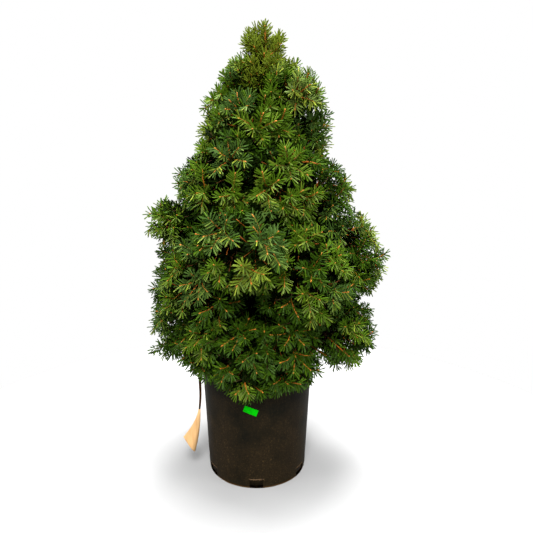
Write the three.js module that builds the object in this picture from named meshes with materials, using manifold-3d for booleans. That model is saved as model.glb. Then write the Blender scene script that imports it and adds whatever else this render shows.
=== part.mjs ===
// A dwarf Alberta spruce in its nursery pot, as a three.js scene graph.
// Millimetres, +Z up. The origin is the middle of the pot's flat underside.
//
// The trunk stands on the soil and runs whole up through the crown. Each bough leaves the
// trunk and ends where it enters its own mass of foliage. Neighbouring masses part along a
// thin cleft, and every mass is cut back round the trunk, the boughs and the pot.

import * as THREE from 'three';
import { mergeVertices } from 'three/addons/utils/BufferGeometryUtils.js';
import Module from 'manifold-3d';

const wasm = await Module();
wasm.setup();

// ---------------------------------------------------------------- driving dimensions

const GAP = 0.3; // between two pieces that touch
const CLEFT = 1.2; // between two masses of foliage

const pot = {
  baseRadius: 97, // outside, where it stands
  mouthRadius: 108, // outside, just under the lip
  height: 222,
  lipHeight: 9,
  lipOut: 2.5,
  wall: 2,
  floor: 2.5,
  edge: 1.6, // rounding of the foot and of the lip
  sides: 36,
};

const notch = { count: 6, width: 25, height: 19, depth: 14, first: -90 }; // drain holes
const spare = 6; // how far a cutting block reaches past the outside of the wall
const soilTop = 198;
const soilRecess = 7; // soil stands back this far behind a drain hole

const trunk = {
  top: 829,
  radius: 8.5, // just above the flare
  tipRadius: 1.6,
  flare: 6, // added at the soil
  flareHeight: 16, // over which the flare dies away
  leanX: 19, // how far the tip stands to the right of the foot
  leanY: -4,
  bow: 5, // sideways bow half way up
  sides: 8,
  steps: 10,
  crowding: 1.5, // more than 1 sets the steps closer together at the flare
};

const bough = {
  butt: 3.4, // radius where it leaves the trunk
  tip: 1.9,
  knee: 0.5, // where it bends, as a share of its length
  lift: 0.15, // of the knee, as a share of its climb
  sides: 5,
  steps: 3,
};

const label = {
  width: 26,
  height: 12.5,
  thickness: 0.4,
  bearing: -95.3,
  middle: 160, // height of its middle
  tilt: -21,
  strips: 4, // across, so that it follows the wall
};

const strap = {
  foot: new THREE.Vector3(-110.6, -45, 136),
  head: new THREE.Vector3(-105.2, -45, 262),
  width: 6,
  thickness: 1,
};
const card = {
  top: 2, // half width under the strap
  width: 33, // to its outer corner
  length: 93, // to its foot
  slope: 36, // how far its outer corner stands above the foot
  footShare: 0.36, // where the foot lies, as a share of the width
  sag: [8, 3], // hollow of its outer edge and swell of its inner edge
  thickness: 1,
  turn: 8,
};

// The masses of foliage. bearing is the way the mass faces, in degrees from +X towards +Y.
// height is the level of its middle, reach its tip's distance from the pot's axis, core
// where it begins, wide and tall its half width and half height, and rise the angle at
// which it climbs outwards. root is the level at which its bough leaves the trunk.
const massTable = [
  // name, bearing, height, reach, core, wide, tall, rise, root
  // skirt, which hangs over the rim of the pot
  ['skirt_right', -4, 292, 242, 104, 96, 68, 13, 236],
  ['skirt_front_right', -60, 268, 174, 50, 82, 86, -6, 228],
  ['skirt_front', -102, 262, 174, 50, 70, 88, -8, 244],
  ['skirt_front_left', -145, 284, 176, 50, 84, 80, -3, 232],
  ['skirt_left', 178, 326, 208, 84, 90, 127, 7, 250],
  ['skirt_back_left', 124, 292, 200, 58, 110, 90, 2, 226],
  ['skirt_back_right', 58, 288, 206, 58, 114, 90, 2, 240],
  // flank, the widest part of the crown
  ['flank_right', -2, 428, 247, 56, 92, 106, 8, 360],
  ['flank_front_right', -52, 408, 202, 52, 92, 98, 4, 350],
  ['flank_front', -97, 452, 212, 50, 82, 78, 8, 384],
  ['flank_front_left', -135, 396, 194, 52, 86, 94, 4, 342],
  ['flank_left', 178, 480, 206, 56, 90, 56, 6, 396],
  ['flank_back_left', 124, 436, 204, 52, 110, 104, 6, 366],
  ['flank_back_right', 58, 440, 212, 52, 112, 102, 7, 376],
  // shoulder
  ['shoulder_right', 0, 534, 191, 40, 80, 80, 6, 502],
  ['shoulder_front_right', -58, 572, 160, 38, 82, 86, 10, 490],
  ['shoulder_front_left', -120, 580, 158, 38, 80, 88, 10, 512],
  ['shoulder_left', 178, 540, 157, 40, 78, 80, 8, 496],
  ['shoulder_back_left', 118, 574, 162, 38, 88, 90, 12, 506],
  ['shoulder_back_right', 60, 580, 164, 38, 88, 90, 12, 518],
  // neck, which parts in front so that the trunk shows
  ['neck_right_low', 4, 641, 145, 24, 56, 46, 12, 600],
  ['neck_right', -14, 716, 132, 12, 66, 51, 14, 640],
  ['neck_front', -90, 658, 120, 12, 74, 62, 14, 608],
  ['neck_left', -172, 662, 113, 12, 72, 86, 14, 618],
  ['neck_back', 88, 694, 112, 12, 78, 76, 16, 630],
];
const masses = massTable.map(([name, bearing, height, reach, core, wide, tall, rise, root]) => ({
  name, bearing, height, reach, core, wide, tall, rise, root,
}));

// The two masses at the top stand round the trunk itself and have no bough.
const topMasses = [
  { name: 'crown_whorl', height: 758, radius: 62, tall: 40 },
  { name: 'crown_tip', height: 805, radius: 38, tall: 42 },
];

const massShape = {
  detail: 2, // how finely it is faceted
  squareness: 2.4, // 2 is round, more is fuller
  seed: 11,
  parted: 1.35, // masses further apart than this many of their reaches share no cleft
};
const swelling = {
  count: 9, // on each mass
  height: 0.2, // as a share of the mass
  least: 0.3, // of the smallest, as a share of that height
  tightness: 7, // larger is narrower
  lowest: -0.7, // level of the lowest, where -1 is the underside
};

// ---------------------------------------------------------------- finishes

function finish(colour, roughness) {
  return new THREE.MeshStandardMaterial({ color: colour, roughness, metalness: 0 });
}

const finishes = {
  pot: finish(0x26221c, 0.7),
  soil: finish(0x3a2a1e, 0.95),
  bark: finish(0x5d4230, 0.9),
  foliage: finish(0x2f6a2a, 0.75),
  label: finish(0x05d20a, 0.5),
  strap: finish(0x2e1409, 0.45),
  card: finish(0xf2cf9b, 0.6),
};

// ---------------------------------------------------------------- helpers

// A closed geometry with its doubled vertices merged and its empty triangles dropped.
function weld(geometry) {
  const bare = geometry.clone();
  for (const name of Object.keys(bare.attributes)) {
    if (name !== 'position') bare.deleteAttribute(name);
  }
  const merged = mergeVertices(bare, 1e-4);
  const old = merged.index.array;
  const kept = [];
  for (let i = 0; i < old.length; i += 3) {
    const [a, b, c] = [old[i], old[i + 1], old[i + 2]];
    if (a !== b && b !== c && c !== a) kept.push(a, b, c);
  }
  merged.setIndex(kept);
  return merged;
}

function toSolid(geometry) {
  const welded = weld(geometry);
  return new wasm.Manifold(
    new wasm.Mesh({
      numProp: 3,
      vertProperties: new Float32Array(welded.attributes.position.array),
      triVerts: new Uint32Array(welded.index.array),
    }),
  );
}

function toGeometry(solid) {
  const mesh = solid.getMesh();
  const geometry = new THREE.BufferGeometry();
  geometry.setAttribute('position', new THREE.BufferAttribute(mesh.vertProperties, 3));
  geometry.setIndex(new THREE.BufferAttribute(mesh.triVerts, 1));
  geometry.computeVertexNormals();
  return geometry;
}

// Moves every vertex of a geometry by a function of its place.
function bend(geometry, move) {
  const places = geometry.attributes.position;
  const point = new THREE.Vector3();
  for (let i = 0; i < places.count; i += 1) {
    point.fromBufferAttribute(places, i);
    move(point);
    places.setXYZ(i, point.x, point.y, point.z);
  }
  geometry.computeVertexNormals();
  return geometry;
}

// A profile of [radius, height] pairs turned about the Z axis.
function turned(profile, sides) {
  const points = profile.map(([radius, height]) => new THREE.Vector2(radius, height));
  return new THREE.LatheGeometry(points, sides).rotateX(Math.PI / 2);
}

function radians(degrees) {
  return (degrees * Math.PI) / 180;
}

// The unit vector that points out from the axis on a bearing, at a slope above level.
function outward(bearing, slope = 0) {
  const [turn, climb] = [radians(bearing), radians(slope)];
  return new THREE.Vector3(
    Math.cos(turn) * Math.cos(climb),
    Math.sin(turn) * Math.cos(climb),
    Math.sin(climb),
  );
}

// Numbers from 0 to 1 that are the same on every run.
function seeded(seed) {
  let state = seed;
  return () => {
    state = (state * 1664525 + 1013904223) % 4294967296;
    return state / 4294967296;
  };
}

// ---------------------------------------------------------------- pot and soil

function potRadius(height) {
  const share = height / (pot.height - pot.lipHeight);
  return pot.baseRadius + (pot.mouthRadius - pot.baseRadius) * share;
}

// The pot's outside, from the axis under the floor to the top of the lip.
function potOutside(extra) {
  const lipFoot = pot.height - pot.lipHeight;
  const lipRadius = potRadius(lipFoot) + pot.lipOut + extra;
  return [
    [0, -extra],
    [pot.baseRadius - pot.edge + extra, -extra],
    [pot.baseRadius + extra, pot.edge],
    [potRadius(lipFoot) + extra, lipFoot - extra],
    [lipRadius, lipFoot + pot.edge - extra],
    [lipRadius, pot.height - pot.edge],
    [lipRadius - pot.edge, pot.height + extra],
  ];
}

// A block at each drain hole, reaching depth inwards from outside the wall.
function notchBlocks(depth, width, height) {
  const blocks = [];
  for (let i = 0; i < notch.count; i += 1) {
    const block = new THREE.BoxGeometry(depth + spare, width, height * 2);
    block.translate(pot.baseRadius + (spare - depth) / 2, 0, 0);
    block.rotateZ(radians(notch.first + (360 / notch.count) * i));
    blocks.push(toSolid(block));
  }
  return blocks;
}

function makePot() {
  const inside = [
    [potRadius(pot.height) - pot.wall, pot.height],
    [potRadius(pot.floor) - pot.wall, pot.floor],
    [0, pot.floor],
  ];
  let solid = toSolid(turned([...potOutside(0), ...inside], pot.sides));
  for (const block of notchBlocks(notch.depth, notch.width, notch.height)) {
    solid = solid.subtract(block);
  }
  return toGeometry(solid);
}

function makeSoil() {
  const inset = pot.wall + GAP;
  const profile = [
    [0, pot.floor + GAP],
    [potRadius(pot.floor) - inset, pot.floor + GAP],
    [potRadius(soilTop) - inset, soilTop],
    [0, soilTop],
  ];
  let solid = toSolid(turned(profile, pot.sides));
  const depth = pot.wall + soilRecess;
  for (const block of notchBlocks(depth, notch.width, notch.height)) {
    solid = solid.subtract(block);
  }
  return toGeometry(solid);
}

// ---------------------------------------------------------------- trunk and boughs

// The middle of the trunk at a level: a lean with a slight bow.
function trunkAxis(height) {
  const share = THREE.MathUtils.clamp((height - soilTop) / (trunk.top - soilTop), 0, 1);
  const bow = trunk.bow * Math.sin(Math.PI * share);
  return new THREE.Vector3(trunk.leanX * share - bow, trunk.leanY * share + bow / 2, height);
}

function trunkRadius(height) {
  const share = (height - soilTop) / (trunk.top - soilTop);
  const taper = trunk.radius + (trunk.tipRadius - trunk.radius) * share;
  return taper + trunk.flare * Math.exp(-(height - soilTop) / trunk.flareHeight);
}

// The trunk from its flat cut on the soil to its tip. extra makes it fatter all round.
function trunkGeometry(extra) {
  const foot = soilTop + GAP;
  const profile = [[0, foot - extra]];
  for (let i = 0; i <= trunk.steps; i += 1) {
    const share = (i / trunk.steps) ** trunk.crowding;
    const height = foot + (trunk.top - foot) * share;
    profile.push([trunkRadius(height) + extra, i === 0 ? foot - extra : height]);
  }
  profile.push([trunk.tipRadius + extra, trunk.top + extra], [0, trunk.top + extra]);
  return bend(turned(profile, trunk.sides), (point) => {
    const axis = trunkAxis(point.z);
    point.x += axis.x;
    point.y += axis.y;
  });
}

// A tapering round limb along a curve.
function limb(curve, buttRadius, tipRadius) {
  const profile = [[0, 0]];
  for (let i = 0; i <= bough.steps; i += 1) {
    const share = i / bough.steps;
    profile.push([buttRadius + (tipRadius - buttRadius) * share, share]);
  }
  profile.push([0, 1]);
  const frames = curve.computeFrenetFrames(bough.steps);
  return bend(turned(profile, bough.sides), (point) => {
    const step = Math.round(point.z * bough.steps);
    const centre = curve.getPointAt(step / bough.steps);
    const across = frames.normals[step].clone().multiplyScalar(point.x);
    const along = frames.binormals[step].clone().multiplyScalar(point.y);
    point.copy(centre).add(across).add(along);
  });
}

// A bough climbs from the trunk's axis and bends level towards the middle of its mass.
function boughCurve(mass) {
  const start = trunkAxis(mass.root);
  const end = massMiddle(mass);
  const knee = start.clone().lerp(end, bough.knee);
  knee.z += (end.z - start.z) * bough.lift;
  return new THREE.QuadraticBezierCurve3(start, knee, end);
}

// ---------------------------------------------------------------- masses of foliage

function massMiddle(mass) {
  const middle = outward(mass.bearing).multiplyScalar((mass.core + mass.reach) / 2);
  middle.z = mass.height;
  return middle;
}

// A round blob with seeded swellings, one unit in radius.
function blob(seed) {
  const random = seeded(seed);
  const swellings = [];
  for (let i = 0; i < swelling.count; i += 1) {
    const level = swelling.lowest + (1 - swelling.lowest) * random();
    const turn = random() * 2 * Math.PI;
    const flat = Math.sqrt(Math.max(0, 1 - level * level));
    const way = new THREE.Vector3(flat * Math.cos(turn), flat * Math.sin(turn), level);
    const share = swelling.least + (1 - swelling.least) * random();
    swellings.push({ way: way.normalize(), size: swelling.height * share });
  }
  const power = massShape.squareness;
  const ball = new THREE.IcosahedronGeometry(1, massShape.detail);
  return bend(ball, (point) => {
    point.normalize();
    const sum = Math.abs(point.x) ** power + Math.abs(point.y) ** power + Math.abs(point.z) ** power;
    let radius = sum ** (-1 / power) - swelling.height / 2;
    for (const { way, size } of swellings) {
      radius += size * Math.exp(swelling.tightness * (point.dot(way) - 1));
    }
    point.multiplyScalar(radius);
  });
}

// The frame of a mass: its middle, and its long, cross and upright half axes.
function massFrame(mass) {
  const long = outward(mass.bearing, mass.rise);
  const cross = new THREE.Vector3(0, 0, 1).cross(long).normalize();
  const upright = long.clone().cross(cross);
  const half = (mass.reach - mass.core) / 2;
  const axes = [
    long.multiplyScalar(half),
    cross.multiplyScalar(mass.wide),
    upright.multiplyScalar(mass.tall),
  ];
  return { middle: massMiddle(mass), axes };
}

function topFrame(mass) {
  const middle = trunkAxis(mass.height);
  const axes = [
    new THREE.Vector3(mass.radius, 0, 0),
    new THREE.Vector3(0, mass.radius, 0),
    new THREE.Vector3(0, 0, mass.tall),
  ];
  return { middle, axes };
}

// The distance from a mass's middle to its plain ellipsoid, along a unit vector.
function reachAlong(frame, way) {
  let sum = 0;
  for (const axis of frame.axes) sum += (way.dot(axis) / axis.lengthSq()) ** 2;
  return 1 / Math.sqrt(sum);
}

// A half space as a very large block: all that lies behind a plane.
function behind(point, normal) {
  const size = 2000; // larger than the whole plant
  const block = new THREE.BoxGeometry(size, size, size).translate(0, 0, -size / 2);
  const turn = new THREE.Quaternion().setFromUnitVectors(new THREE.Vector3(0, 0, 1), normal);
  block.applyQuaternion(turn).translate(point.x, point.y, point.z);
  return toSolid(block);
}

// One mass, parted from its neighbours. extra makes it larger all round.
function massSolid(frames, index, extra) {
  const frame = frames[index];
  const matrix = new THREE.Matrix4().makeBasis(
    ...frame.axes.map((axis) => axis.clone().setLength(axis.length() + extra)),
  );
  matrix.setPosition(frame.middle);
  let solid = toSolid(blob(index + massShape.seed).applyMatrix4(matrix));
  frames.forEach((other, otherIndex) => {
    if (otherIndex === index) return;
    const way = other.middle.clone().sub(frame.middle);
    const distance = way.length();
    way.normalize();
    const [mine, theirs] = [reachAlong(frame, way), reachAlong(other, way)];
    if (distance > (mine + theirs) * massShape.parted) return;
    const share = (distance * mine) / (mine + theirs) - CLEFT / 2 + extra;
    solid = solid.intersect(behind(frame.middle.clone().addScaledVector(way, share), way));
  });
  return solid;
}

// ---------------------------------------------------------------- label and hang tag

// A thin sticker that lies on the pot's wall, a little askew.
function makeLabel() {
  const { width, height, thickness, strips } = label;
  const block = new THREE.BoxGeometry(width, height, thickness, strips, 1, 1);
  block.rotateZ(radians(label.tilt));
  return bend(block, (point) => {
    const level = label.middle + point.y;
    const radius = potRadius(level) + GAP + thickness / 2 + point.z;
    const turn = radians(label.bearing) + point.x / potRadius(level);
    point.set(radius * Math.cos(turn), radius * Math.sin(turn), level);
  });
}

// The tag's flat strap, which hangs beside the rim.
function strapGeometry() {
  const along = strap.head.clone().sub(strap.foot);
  const length = along.length();
  const block = new THREE.BoxGeometry(strap.width, strap.thickness, length);
  const turn = new THREE.Quaternion().setFromUnitVectors(
    new THREE.Vector3(0, 0, 1),
    along.normalize(),
  );
  const middle = strap.head.clone().add(strap.foot).multiplyScalar(0.5);
  return block.applyQuaternion(turn).translate(middle.x, middle.y, middle.z);
}

// The tag's blank card, which widens from the strap to a slanting foot.
function makeCard() {
  const { top, width, length, slope, footShare, sag } = card;
  const outline = new THREE.Shape();
  outline.moveTo(-top, 0);
  outline.quadraticCurveTo(-sag[0], (slope - length) / 2, -width, slope - length);
  outline.lineTo(-width * footShare, -length);
  outline.quadraticCurveTo(sag[1], -length / 2, top, 0);
  const plate = new THREE.ExtrudeGeometry(outline, {
    depth: card.thickness,
    bevelEnabled: false,
    curveSegments: 5,
  });
  plate.translate(0, 0, -card.thickness / 2).rotateX(Math.PI / 2).rotateZ(radians(card.turn));
  const lean = Math.atan2(strap.head.x - strap.foot.x, strap.head.z - strap.foot.z);
  const dip = (strap.width / 2) * Math.sin(lean); // of the strap's lower corner
  return plate.translate(strap.foot.x, strap.foot.y, strap.foot.z - GAP - dip);
}

// ---------------------------------------------------------------- assembly

const potted = new THREE.Group();

function add(name, geometry, material) {
  const mesh = new THREE.Mesh(geometry, material);
  mesh.name = name;
  potted.add(mesh);
}

const trunkClear = toSolid(trunkGeometry(GAP));

// The room that the foliage leaves round the pot: a coarse pot, wide enough at its flats.
const clearSides = 16;
const flatFit = 1 / Math.cos(Math.PI / clearSides);
const potRoom = [...potOutside(GAP), [0, pot.height + GAP]];
const potClear = toSolid(turned(potRoom.map(([r, z]) => [r * flatFit, z]), clearSides));

const allMasses = [...masses, ...topMasses];
const frames = [...masses.map(massFrame), ...topMasses.map(topFrame)];

const boughTube = (mass, extra) => toSolid(limb(boughCurve(mass), bough.butt + extra, bough.tip + extra));
const boughTubes = masses.map((mass) => boughTube(mass, 0));
const boughClears = masses.map((mass) => boughTube(mass, GAP));

add('pot', makePot(), finishes.pot);
add('soil', makeSoil(), finishes.soil);
add('trunk', trunkGeometry(0), finishes.bark);

masses.forEach((mass, index) => {
  const solid = boughTubes[index].subtract(trunkClear).subtract(massSolid(frames, index, GAP));
  add(`bough_${mass.name}`, toGeometry(solid), finishes.bark);
});

allMasses.forEach((mass, index) => {
  let solid = massSolid(frames, index, 0).subtract(trunkClear).subtract(potClear);
  boughClears.forEach((clear, boughIndex) => {
    if (boughIndex !== index) solid = solid.subtract(clear);
  });
  add(`foliage_${mass.name}`, toGeometry(solid), finishes.foliage);
});

const overStrap = masses.findIndex((mass) => mass.name === 'skirt_front_left');
const strapSeat = massSolid(frames, overStrap, GAP);
add('tag_strap', toGeometry(toSolid(strapGeometry()).subtract(strapSeat)), finishes.strap);
add('tag_card', makeCard(), finishes.card);
add('price_label', makeLabel(), finishes.label);

export default potted;
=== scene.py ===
# %% [markdown]
# # A dwarf Alberta spruce in its nursery pot
# The plant is a small dense cone of short needles on one trunk. The solids of the CAD model
# give its true outline: one uneven solid for each mass of foliage, and a tapering solid for
# the trunk and for each bough. This script loads them as a fixed frame and grows the real
# plant inside them, from the bark outwards to twigs, needles and buds. Then it finishes the
# pot, the soil, the label and the tag.

# %% The fixed frame
import math
from collections import namedtuple

import bpy
import numpy as np
from mathutils.bvhtree import BVHTree
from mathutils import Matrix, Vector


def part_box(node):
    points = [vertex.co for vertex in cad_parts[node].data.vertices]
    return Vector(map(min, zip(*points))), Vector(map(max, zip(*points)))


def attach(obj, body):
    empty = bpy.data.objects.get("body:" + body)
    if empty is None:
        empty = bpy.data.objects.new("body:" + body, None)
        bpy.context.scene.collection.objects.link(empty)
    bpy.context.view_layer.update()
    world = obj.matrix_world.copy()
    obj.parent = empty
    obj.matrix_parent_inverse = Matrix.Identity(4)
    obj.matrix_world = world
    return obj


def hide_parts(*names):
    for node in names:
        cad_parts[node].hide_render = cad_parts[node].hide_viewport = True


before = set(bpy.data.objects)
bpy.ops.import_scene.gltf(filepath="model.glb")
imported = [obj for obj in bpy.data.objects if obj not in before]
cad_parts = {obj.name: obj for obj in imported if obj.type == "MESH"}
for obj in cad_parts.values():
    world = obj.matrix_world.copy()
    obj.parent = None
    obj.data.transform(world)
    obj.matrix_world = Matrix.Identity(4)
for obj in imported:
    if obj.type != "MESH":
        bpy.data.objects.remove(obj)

MM = 0.001
UP = np.array([0, 0, 1.0])
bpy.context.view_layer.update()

# %% [markdown]
# ## The camera
# The plant is looked at from the front and a little above, from about a metre away. The camera
# comes first, because every later choice of detail depends on how large a thing appears: at
# this distance a needle is only about two thousandths of the view's height thick.

# %% Camera
scene = bpy.context.scene
camera_data = bpy.data.cameras.new("camera")
camera_data.sensor_width = 36
camera_data.lens = 32.49
camera = bpy.data.objects.new("camera", camera_data)
camera.location = (0.019, -0.918, 0.566)
camera.rotation_euler = (math.radians(80.2), 0, 0)
scene.collection.objects.link(camera)
scene.camera = camera
print("camera at", np.round(camera.location, 3).tolist())

# %% [markdown]
# ## Light
# A plant like this is shown in a white room. One way is to light it from the room alone, but
# then the inside of the plant is nearly as bright as its tips and the needles melt together.
# So the room gives only a weak, even light, and two large soft lamps above and in front do
# most of the work: they catch the upper sides of the sprays and leave the gaps dark. Two
# weaker ones at the sides keep the edges of the plant from going grey.

# %% Light
scene.view_settings.view_transform = "Standard"
world = bpy.data.worlds.new("white_room")
world.use_nodes = True
room_light = world.node_tree.nodes["Background"].inputs
room_light["Color"].default_value = (1, 1, 1, 1)
room_light["Strength"].default_value = 1.0
scene.world = world


def soft_lamp(name, place, target, size, power):
    """A square lamp at a place, turned to face a target."""
    data = bpy.data.lights.new(name, "AREA")
    data.size = size
    data.energy = power
    lamp = bpy.data.objects.new(name, data)
    lamp.location = place
    way = np.subtract(target, place)
    lamp.rotation_euler = (math.atan2(math.hypot(way[0], way[1]), -way[2]), 0, math.atan2(-way[0], way[1]))
    scene.collection.objects.link(lamp)


middle_of_plant = (0, 0, 0.45)
soft_lamp("lamp_above", (0.10, 0.18, 2.3), middle_of_plant, 1.3, 225)
soft_lamp("lamp_front", (0.0, -1.9, 2.0), middle_of_plant, 0.8, 130)
soft_lamp("lamp_left", (-1.9, -0.9, 1.1), middle_of_plant, 0.8, 22)
soft_lamp("lamp_right", (1.9, -0.9, 1.1), middle_of_plant, 0.8, 22)
print("a white room and four soft lamps")

# %% [markdown]
# ## Making a piece
# Every piece below is worked out with numpy as an array of points and an array of faces. The
# slow way would be to add the faces to a mesh one at a time. Here the arrays go into the mesh
# whole, which takes a moment even for a hundred thousand needles. The same function says
# what the piece rides on and which solid it replaces.

# %% Helpers for arrays
def unit(rows):
    """Each row divided by its own length."""
    return rows / np.maximum(np.linalg.norm(rows, axis=-1, keepdims=True), 1e-12)


def full_turn(count):
    """Angles spaced evenly round a circle, from 0 to just short of a whole turn."""
    return np.linspace(0, 2 * np.pi, count, endpoint=False)


def polar(radius, turn, height):
    """Points from their distance to the upright axis, their turn round it and their height."""
    return np.stack(np.broadcast_arrays(radius * np.cos(turn), radius * np.sin(turn), height), -1)


def one_mesh(parts):
    """Parts, each an array of points and one of faces, joined into one array of each."""
    starts = np.cumsum([0] + [len(points) for points, _ in parts[:-1]])
    faces = np.concatenate([faces + start for (_, faces), start in zip(parts, starts)])
    return np.concatenate([points for points, _ in parts]), faces


def repeated(faces, copies, points_each):
    """The faces of one shape, given once for each copy of it."""
    return (faces + (np.arange(copies) * points_each)[:, None, None]).reshape(-1, faces.shape[1])


print("four turns of a circle:", np.round(full_turn(4), 2).tolist())


# %% A piece from arrays
def make_piece(name, points, faces, finishes, slot, replaces=(), kind=None, smooth=True):
    """An object from points (n, 3) and faces (m, 3 or 4). kind gives each face's finish."""
    points = np.ascontiguousarray(points, np.float32).reshape(-1, 3)
    faces = np.ascontiguousarray(faces, np.int32)
    mesh = bpy.data.meshes.new(name)
    mesh.vertices.add(len(points))
    mesh.vertices.foreach_set("co", points.ravel())
    mesh.loops.add(faces.size)
    mesh.loops.foreach_set("vertex_index", faces.ravel())
    mesh.polygons.add(len(faces))
    mesh.polygons.foreach_set("loop_start", np.arange(len(faces), dtype=np.int32) * faces.shape[1])
    mesh.polygons.foreach_set("use_smooth", np.full(len(faces), smooth))
    for finish in finishes:
        mesh.materials.append(finish)
    if kind is not None:
        mesh.polygons.foreach_set("material_index", np.ascontiguousarray(kind, np.int32))
    mesh.update()
    piece = bpy.data.objects.new(name, mesh)
    scene.collection.objects.link(piece)
    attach(piece, "root")
    if replaces:
        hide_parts(*replaces)
    print(f"{name}: {len(points)} points, {len(faces)} faces")
    return piece


# %% [markdown]
# ## Making a finish
# Two kinds of finish are used. A plain one has a single colour, and suits things so small and
# so many that the variety comes from dealing several of them out, as with needles. All others
# are built from nodes: a noise pattern laid over the piece, a ramp that turns the pattern into
# colours, and a bump that lets the light catch it.

# %% Finishes
def start_finish(name, roughness, specular=0.5):
    """A new material with its node tree and shader."""
    material = bpy.data.materials.new(name)
    material.use_nodes = True
    shader = material.node_tree.nodes["Principled BSDF"]
    shader.inputs["Roughness"].default_value = roughness
    shader.inputs["Specular IOR Level"].default_value = specular
    return material, material.node_tree, shader


def plain(name, colour, roughness, specular=0.5):
    """A plain finish: one base colour, set on the shader itself."""
    material, _, shader = start_finish(name, roughness, specular)
    shader.inputs["Base Color"].default_value = (*colour, 1)
    return material


def node(tree, kind, inputs, **settings):
    """A shader node of a kind, with each of its inputs set to a value or joined to a socket."""
    made = tree.nodes.new("ShaderNode" + kind)
    for key, value in settings.items():
        setattr(made, key, value)
    for key, value in inputs.items():
        if isinstance(value, bpy.types.NodeSocket):
            tree.links.new(value, made.inputs[key])
        else:
            made.inputs[key].default_value = value
    return made


def noise(tree, scale, detail=4, stretch=(1, 1, 1)):
    """A noise pattern on the piece's own coordinates, about scale blots to the metre."""
    place = node(tree, "TexCoord", {}).outputs["Object"]
    stretched = node(tree, "Mapping", {"Vector": place, "Scale": stretch}).outputs["Vector"]
    return node(tree, "TexNoise", {"Vector": stretched, "Scale": scale, "Detail": detail}).outputs["Fac"]


def ramp(tree, share, stops):
    """Colours along a share from 0 to 1, mixed between the stops."""
    made = node(tree, "ValToRGB", {"Fac": share})
    while len(made.color_ramp.elements) < len(stops):
        made.color_ramp.elements.new(0.5)
    for element, (where, colour) in zip(made.color_ramp.elements, stops):
        element.position = where
        element.color = (*colour, 1)
    return made.outputs["Color"]


def share_between(tree, value, first, last):
    """0 at the first value, 1 at the last, and even in between."""
    return node(tree, "MapRange", {"Value": value, "From Min": first, "From Max": last}).outputs["Result"]


def blended(tree, share, first, second, blend="MIX"):
    """The first colour turned into the second by a share."""
    made = node(tree, "Mix", {0: share, 6: first, 7: second}, data_type="RGBA", blend_type=blend)
    return made.outputs[2]


def finish_off(tree, shader, colour, strength, depth, height):
    """The colour joined to the shader, and a bump whose depth in metres follows a pattern of heights."""
    tree.links.new(colour, shader.inputs["Base Color"])
    raised = node(tree, "Bump", {"Strength": strength, "Distance": depth, "Height": height})
    tree.links.new(raised.outputs["Normal"], shader.inputs["Normal"])


def patterned(name, scale, stops, roughness, depth, specular=0.5, detail=4, stretch=(1, 1, 1)):
    """A finish whose colour and bump, of a depth in metres, both come from one noise pattern."""
    material, tree, shader = start_finish(name, roughness, specular)
    share = noise(tree, scale, detail, stretch)
    finish_off(tree, shader, ramp(tree, share, stops), 1.0, depth, share)
    return material


# %% [markdown]
# ## The floor
# A pale disc just wide enough for the soft shade round the foot of the pot. Its lit part is
# as white as the room behind it, so its edge doesn't show.

# %% Floor
FLOOR_RADIUS = 0.8
rim = polar(FLOOR_RADIUS, full_turn(96), 0.0)
floor_mesh = bpy.data.meshes.new("floor")
floor_mesh.from_pydata(rim.tolist(), [], [list(range(len(rim)))])
floor_mesh.materials.append(plain("floor_white", (0.27, 0.27, 0.27), 0.9, 0.1))
floor = bpy.data.objects.new("floor", floor_mesh)
scene.collection.objects.link(floor)
print("floor of radius", FLOOR_RADIUS)

# %% [markdown]
# ## Reading the frame
# The frame's solids are read as arrays: their corner points and their triangles. Two questions
# are asked of them again and again: where is the middle of the trunk at a height, and how far
# can a shoot see before it meets another mass? A tree of bounding boxes answers the second.

# %% Reading the solids
def triangles(node_name):
    """The points and the triangles of a CAD solid."""
    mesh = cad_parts[node_name].data
    mesh.calc_loop_triangles()
    points = np.empty(len(mesh.vertices) * 3)
    mesh.vertices.foreach_get("co", points)
    corners = np.empty(len(mesh.loop_triangles) * 3, int)
    mesh.loop_triangles.foreach_get("vertices", corners)
    return points.reshape(-1, 3), corners.reshape(-1, 3)


def joined(node_names):
    """Several solids as one array of points, one of triangles, and the solid of each triangle."""
    parts = [triangles(name) for name in node_names]
    return *one_mesh(parts), np.repeat(np.arange(len(parts)), [len(faces) for _, faces in parts])


masses = [name[len("foliage_"):] for name in sorted(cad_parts) if name.startswith("foliage_")]
solid_names = ["foliage_" + mass for mass in masses] + ["pot"]
solid_points, solid_faces, solid_owner = joined(solid_names)
solids = BVHTree.FromPolygons(solid_points.tolist(), solid_faces.tolist())
print(len(masses), "masses of foliage,", len(solid_faces), "triangles")


# %% The middle of the trunk
def trunk_rings():
    """The middle and the radius of each ring of corners round the CAD trunk, from the foot up."""
    points = np.unique(np.round(triangles("trunk")[0], 6), axis=0)
    levels = np.unique(np.round(points[:, 2], 4))
    rings = [points[np.abs(points[:, 2] - level) < 1e-4] for level in levels]
    rings = [ring for ring in rings if len(ring) >= 3]
    middles = np.array([ring.mean(0) for ring in rings])
    radii = np.array([np.linalg.norm(ring - middle, axis=1).max() for ring, middle in zip(rings, middles)])
    return middles, radii


trunk_middles, trunk_radii = trunk_rings()
soil_level, trunk_top = trunk_middles[[0, -1], 2]


def trunk_axis(height):
    """The middle of the trunk at each height, read between the rings of the CAD trunk."""
    height = np.asarray(height, float)
    x, y = (np.interp(height, trunk_middles[:, 2], trunk_middles[:, k]) for k in (0, 1))
    return np.stack([x, y, height], -1)


def reach_of(places):
    """How far each place is from the middle of the trunk, on the level."""
    return np.linalg.norm((places - trunk_axis(places[:, 2]))[:, :2], axis=1)


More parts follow.
